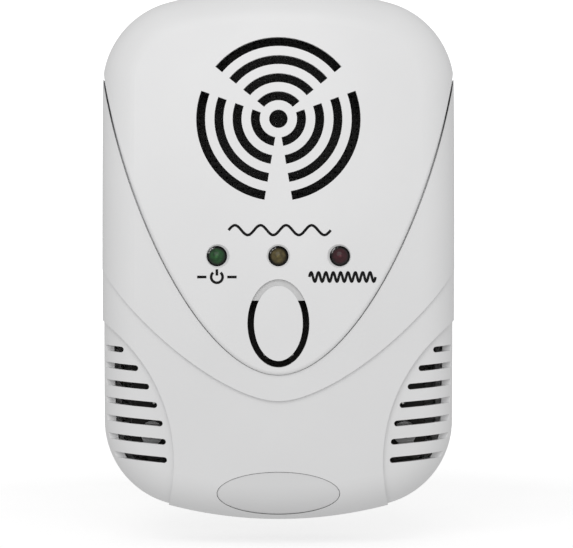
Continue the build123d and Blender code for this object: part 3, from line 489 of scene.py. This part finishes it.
def floor():
    """Pale floor just below the object, which fades into the backdrop with distance."""
    across = np.linspace(-floor_reach, floor_reach, floor_lines)
    x, y = np.meshgrid(across, across, indexing="ij")
    points = np.stack([x, y, np.full_like(x, cad_low.z - floor_drop)], axis=-1)
    mesh = bpy.data.meshes.new("floor")
    mesh.from_pydata(points.reshape(-1, 3).tolist(), [], grid_faces(floor_lines, floor_lines).tolist())
    piece = bpy.data.objects.new("floor", mesh)
    bpy.context.scene.collection.objects.link(piece)
    glow = {"Emission_Color": grey(1.0), "Emission_Strength": floor_glow}
    pale = moulded("floor_finish", grey(0.70), grey(0.68), 0.6, **glow)
    radial = pale.distance((0, 0, 0), (1.0, 1.0, 0.0))
    pale.link(pale.range(radial, 1.0, 0.0, *floor_fade), "Alpha")
    mesh.materials.append(pale.material)
    piece.visible_diffuse = False
    piece.visible_glossy = False


camera()
room()
area_light("key", (-0.06, -0.55, 0.26), (0, -0.04, -0.01), 0.45, 1.35)
area_light("fill", (0.45, -0.5, 0.05), (0, -0.04, 0), 0.5, 0.15)
floor()


# ---------------------------------------------------------------- printed marks
def crown_depth(x, z):
    """y of the crowned shield face at (x, z): a ball of crown_radius whose z is divided by crown_stretch."""
    return crown_front + crown_radius - np.sqrt(crown_radius**2 - x**2 - (z / crown_stretch) ** 2)


def ink_piece(name, strokes, surface, lift, width):
    """Printed lines on a surface given as y of (x, z). Each stroke is a closed flat bar along its path of
    (x, z) points, and its face stands off the surface by lift."""
    points, faces, start = [], [], 0
    for path in strokes:
        step = np.gradient(path, axis=0)
        step /= np.linalg.norm(step, axis=1)[:, None]
        side = np.stack([-step[:, 1], step[:, 0]], axis=1) * width / 2
        loop = np.stack([path + side, path - side, path - side, path + side], axis=1)
        y = surface(loop[..., 0], loop[..., 1]) + np.array([lift, lift, 0.0, 0.0])
        points.append(np.stack([loop[..., 0], y, loop[..., 1]], axis=-1).reshape(-1, 3))
        faces += [[corner + start for corner in face] for face in rod_faces(1, len(path), 4)]
        start += 4 * len(path)
    return mesh_piece(name, np.concatenate(points), faces, "case", ink, smooth=False)


def wave(centre_x, centre_z, width, height, count):
    """A sine wave: z is half the height times the sine of count turns along the width."""
    t = np.linspace(0, 1, count * 24 + 1)
    rise = height / 2 * np.sin(2 * np.pi * count * t)
    return np.stack([centre_x + (t - 0.5) * width, centre_z + rise], axis=1)


def arc(centre_x, centre_z, radius, start, end, steps=40):
    """Part of a circle, from start to end in degrees."""
    t = np.radians(np.linspace(start, end, steps))
    return np.stack([centre_x + radius * np.cos(t), centre_z + radius * np.sin(t)], axis=1)


def straight(start, end):
    """Straight path of three points."""
    return np.linspace(start, end, 3)


def rounded_box(centre, half_width, half_height, radius):
    """Closed line round a rectangle: a corner arc at each of its four corners, in turn."""
    corners = []
    for turn, (sx, sz) in enumerate(((1, 1), (-1, 1), (-1, -1), (1, -1))):
        x = centre[0] + sx * (half_width - radius)
        z = centre[1] + sz * (half_height - radius)
        corners.append(arc(x, z, radius, 90 * turn, 90 * turn + 90, 9))
    loop = np.concatenate(corners)
    return np.concatenate([loop, loop[:2]])


def lamp_marks():
    """A wide and a narrow wave beside two lamps, and an open ring with a stem and two dashes by the third."""
    power = middle("led_power")
    magnetic = middle("led_magnetic")
    ultrasonic = middle("led_ultrasonic")
    low = magnetic.z - mark_below_lamps
    waves = [wave(magnetic.x + magnetic_mark_aside, magnetic.z + mark_above_lamps, *low_wave.values())]
    ink_piece("mark_magnetic", waves, crown_depth, -ink_thickness, ink_line)
    waves = [wave(ultrasonic.x + ultrasonic_mark_aside, low, *high_wave.values())]
    ink_piece("mark_ultrasonic", waves, crown_depth, -ink_thickness, ink_line)
    strokes = [arc(power.x, low, power_mark_radius, *power_mark_turn)]
    foot, top = [low + share * power_mark_radius for share in power_mark_stem]
    strokes.append(straight((power.x, foot), (power.x, top)))
    for side in (-1, 1):
        near = power.x + side * (power_mark_radius + power_dash_gap)
        strokes.append(straight((near, low), (near + side * power_dash, low)))
    ink_piece("mark_power", strokes, crown_depth, -ink_thickness, ink_line)


def label_marks():
    """A border, two rules and the double square of an insulated device, and no lettering."""
    low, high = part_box("rating_label")
    centre = ((low.x + high.x) / 2, (low.z + high.z) / 2)
    half_width = (high.x - low.x) / 2 - label_inset
    half_height = (high.z - low.z) / 2 - label_inset
    strokes = [rounded_box(centre, half_width, half_height, label_border_radius)]
    start, end = [centre[0] + share * half_width for share in label_rule_ends]
    for share in label_rules:
        z = centre[1] + share * half_height
        strokes.append(straight((start, z), (end, z)))
    square = (centre[0] + label_square_place * half_width, centre[1])
    for half_side in label_squares:
        strokes.append(rounded_box(square, half_side, half_side, label_square_radius))

    def label_face(x, z):
        """The label's flat outer face."""
        return np.full_like(x, high.y)

    ink_piece("label_print", strokes, label_face, ink_thickness, label_line)


# ---------------------------------------------------------------- woven cloth and coil
def woven_cloth():
    """Plain weave in a disc. Each thread is a flat oval rod in its row, as long as the disc is wide there.
    It sways by thread_sway in a cosine with one half turn for each thread that it crosses, and its neighbours
    and the threads across sway the other way."""
    low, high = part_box("dust_cloth")
    centre = (low + high) / 2
    radius = (high.x - low.x) / 2 - 0.5 * thread_pitch
    half = int(radius / thread_pitch)
    index = np.arange(-half, half + 1)
    offset = index * thread_pitch
    reach = np.sqrt(radius**2 - offset**2)
    rows = 4 * len(index) + 1
    columns = thread_columns
    along = np.linspace(-1, 1, rows)[None] * reach[:, None]
    sway = thread_sway * np.cos(np.pi * (along / thread_pitch + index[:, None]))
    turn = np.linspace(0, 2 * np.pi, columns, endpoint=False)
    run = np.broadcast_to(along[..., None], (*along.shape, columns))
    across = offset[:, None, None] + thread_half_width * np.cos(turn) + np.zeros_like(run)
    depth = thread_half_thickness * np.sin(turn)
    warp = np.stack([centre.x + run, centre.y + sway[..., None] + depth, centre.z + across], axis=-1)
    weft = np.stack([centre.x + across, centre.y - sway[..., None] + depth, centre.z + run], axis=-1)
    points = np.concatenate([warp, weft]).reshape(-1, 3)
    faces = rod_faces(2 * len(index), rows, columns)
    piece = mesh_piece("woven_cloth", points, faces, "case", threads())
    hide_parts("dust_cloth")


def wound_coil():
    """Outer layer of turns as one helix of round wire about x, over a solid core of wound wire whose half
    section is a rectangle turned about the same axis."""
    low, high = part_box("coil_winding")
    centre = (low + high) / 2
    outer = (high.z - low.z) / 2 - coil_wire_radius
    turns = int((high.x - low.x) / (2.04 * coil_wire_radius)) - 1
    columns = coil_columns
    angle = np.linspace(0, 2 * np.pi * turns, coil_steps_per_turn * turns + 1)[:, None]
    section = np.linspace(0, 2 * np.pi, columns, endpoint=False)[None]
    radius = outer + coil_wire_radius * np.cos(section)
    first = low.x + 1.05 * coil_wire_radius
    travel = high.x - low.x - 2.1 * coil_wire_radius
    x = first + travel * angle / angle[-1] + coil_wire_radius * np.sin(section)
    helix = np.stack([x, centre.y + radius * np.cos(angle), centre.z + radius * np.sin(angle)], axis=-1)
    turn = np.linspace(0, 2 * np.pi, coil_core_steps, endpoint=False)[:, None]
    ring_radius = np.array([coil_tube_radius, outer, outer, coil_tube_radius])[None]
    ring_x = np.array([low.x, low.x, high.x, high.x])[None] + 0 * turn
    ring_y = centre.y + ring_radius * np.cos(turn)
    ring_z = centre.z + ring_radius * np.sin(turn)
    ring = np.stack([ring_x, ring_y, ring_z], axis=-1)
    helix_faces = rod_faces(1, len(angle), columns)
    ring_faces = grid_faces(len(turn), 4, wrap_rows=True, wrap_columns=True) + helix.size // 3
    points = np.concatenate([helix.reshape(-1, 3), ring.reshape(-1, 3)])
    piece = mesh_piece("coil_turns", points, helix_faces + ring_faces.tolist(), "case", copper)
    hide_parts("coil_winding")


lamp_marks()
label_marks()
woven_cloth()
wound_coil()
